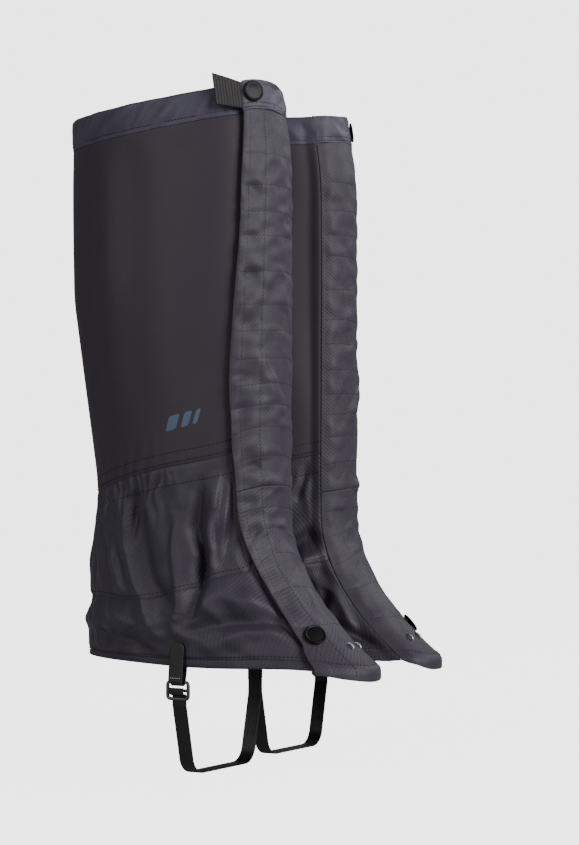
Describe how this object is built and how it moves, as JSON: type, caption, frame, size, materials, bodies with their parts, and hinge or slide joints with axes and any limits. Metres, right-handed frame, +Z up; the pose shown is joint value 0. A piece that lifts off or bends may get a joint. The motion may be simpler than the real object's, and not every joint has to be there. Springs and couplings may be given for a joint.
{
  "type": "gaiters",
  "caption": "Full-length fabric gaiters for hiking boots: front flaps closed by hook tape and press snaps, pull tabs, lace hooks and buckled foot straps.",
  "frame": {"origin": "level with the underside of the foot straps, midway between the two legs", "axes": "+Z up the leg, toes towards -Y, right gaiter at -X and left gaiter at +X"},
  "size_m": [0.2382, 0.2686, 0.5071],
  "materials": {
    "laminate": "matt coated",
    "satin": "satin",
    "twill": "twill weave",
    "tape": "hook and loop pile",
    "elastic": "braided",
    "webbing": "ribbed weave",
    "strap": "smooth coated",
    "snap": "gloss enamel",
    "steel": "plated"
  },
  "bodies": {
    "right_gaiter": {"right_upper_panel": "laminate", "right_top_hem": "satin", "right_top_elastic": "elastic", "right_ankle_panel": "twill", "right_ankle_elastic": "elastic", "right_boot_cover": "twill", "right_bottom_hem": "twill", "right_placket": "twill", "right_loop_tape": "tape", "right_flap_ankle": "twill", "right_snap_top_stud": "steel", "right_snap_top_post": "steel", "right_snap_low_stud": "steel", "right_snap_low_post": "steel"},
    "right_flap_upper": {"right_flap_upper": "twill", "right_flap_top_band": "satin", "right_hook_tape_upper": "tape", "right_snap_top_cap": "snap", "right_snap_top_socket": "steel"},
    "right_pull_tab": {"right_pull_tab": "webbing"},
    "right_flap_lower": {"right_flap_lower": "twill", "right_hook_tape_lower": "tape", "right_snap_low_cap": "snap", "right_snap_low_socket": "steel", "right_lace_hook": "steel"},
    "right_foot_strap": {"right_foot_strap": "strap", "right_strap_buckle": "steel", "right_strap_anchor_outer": "webbing", "right_strap_anchor_inner": "webbing"},
    "right_strap_tail": {"right_strap_tail": "strap"},
    "left_gaiter": {"left_upper_panel": "laminate", "left_top_hem": "satin", "left_top_elastic": "elastic", "left_ankle_panel": "twill", "left_ankle_elastic": "elastic", "left_boot_cover": "twill", "left_bottom_hem": "twill", "left_placket": "twill", "left_loop_tape": "tape", "left_flap_ankle": "twill", "left_snap_top_stud": "steel", "left_snap_top_post": "steel", "left_snap_low_stud": "steel", "left_snap_low_post": "steel"},
    "left_flap_upper": {"left_flap_upper": "twill", "left_flap_top_band": "satin", "left_hook_tape_upper": "tape", "left_snap_top_cap": "snap", "left_snap_top_socket": "steel"},
    "left_pull_tab": {"left_pull_tab": "webbing"},
    "left_flap_lower": {"left_flap_lower": "twill", "left_hook_tape_lower": "tape", "left_snap_low_cap": "snap", "left_snap_low_socket": "steel", "left_lace_hook": "steel"},
    "left_foot_strap": {"left_foot_strap": "strap", "left_strap_buckle": "steel", "left_strap_anchor_outer": "webbing", "left_strap_anchor_inner": "webbing"},
    "left_strap_tail": {"left_strap_tail": "strap"}
  },
  "joints": [
    {"name": "right_flap_upper_hinge", "type": "hinge", "parent": "right_gaiter", "child": "right_flap_upper", "pos_m": [-0.0332, -0.0762, 0.36492], "axis": [-0.0001, -0.0003, 1], "range_deg": [0, 100]},
    {"name": "right_pull_tab_flex", "type": "hinge", "parent": "right_flap_upper", "child": "right_pull_tab", "pos_m": [-0.09346, -0.07186, 0.49456], "axis": [0.0224, -0.0152, 0.9996], "range_deg": [0, 50], "stiffness_Nm_per_rad": 0.002},
    {"name": "right_flap_lower_hinge", "type": "hinge", "parent": "right_gaiter", "child": "right_flap_lower", "pos_m": [-0.03326, -0.11271, 0.12283], "axis": [0.0016, 0.602, 0.7985], "range_deg": [0, 70]},
    {"name": "right_foot_strap_swing", "type": "hinge", "parent": "right_gaiter", "child": "right_foot_strap", "pos_m": [-0.061, -0.031, 0.08], "axis": [1, 0, 0], "range_deg": [-30, 30]},
    {"name": "right_strap_tail_flex", "type": "hinge", "parent": "right_foot_strap", "child": "right_strap_tail", "pos_m": [-0.11852, -0.031, 0.06705], "axis": [0, -1, 0], "range_deg": [0, 45], "stiffness_Nm_per_rad": 0.002},
    {"name": "left_flap_upper_hinge", "type": "hinge", "parent": "left_gaiter", "child": "left_flap_upper", "pos_m": [0.0332, -0.0652, 0.36492], "axis": [-0.0001, 0.0003, -1], "range_deg": [0, 100]},
    {"name": "left_pull_tab_flex", "type": "hinge", "parent": "left_flap_upper", "child": "left_pull_tab", "pos_m": [0.09346, -0.06086, 0.49456], "axis": [0.0224, 0.0152, -0.9996], "range_deg": [0, 50], "stiffness_Nm_per_rad": 0.002},
    {"name": "left_flap_lower_hinge", "type": "hinge", "parent": "left_gaiter", "child": "left_flap_lower", "pos_m": [0.03326, -0.10171, 0.12283], "axis": [0.0016, -0.602, -0.7985], "range_deg": [0, 70]},
    {"name": "left_foot_strap_swing", "type": "hinge", "parent": "left_gaiter", "child": "left_foot_strap", "pos_m": [0.061, -0.02, 0.08], "axis": [1, 0, 0], "range_deg": [-30, 30]},
    {"name": "left_strap_tail_flex", "type": "hinge", "parent": "left_foot_strap", "child": "left_strap_tail", "pos_m": [0.11852, -0.02, 0.06705], "axis": [0, 1, 0], "range_deg": [0, 45], "stiffness_Nm_per_rad": 0.002},
    {"name": "legs_apart_slide", "type": "slide", "parent": "right_gaiter", "child": "left_gaiter", "axis": [1, 0, 0], "range_m": [0, 0.2]}
  ]
}
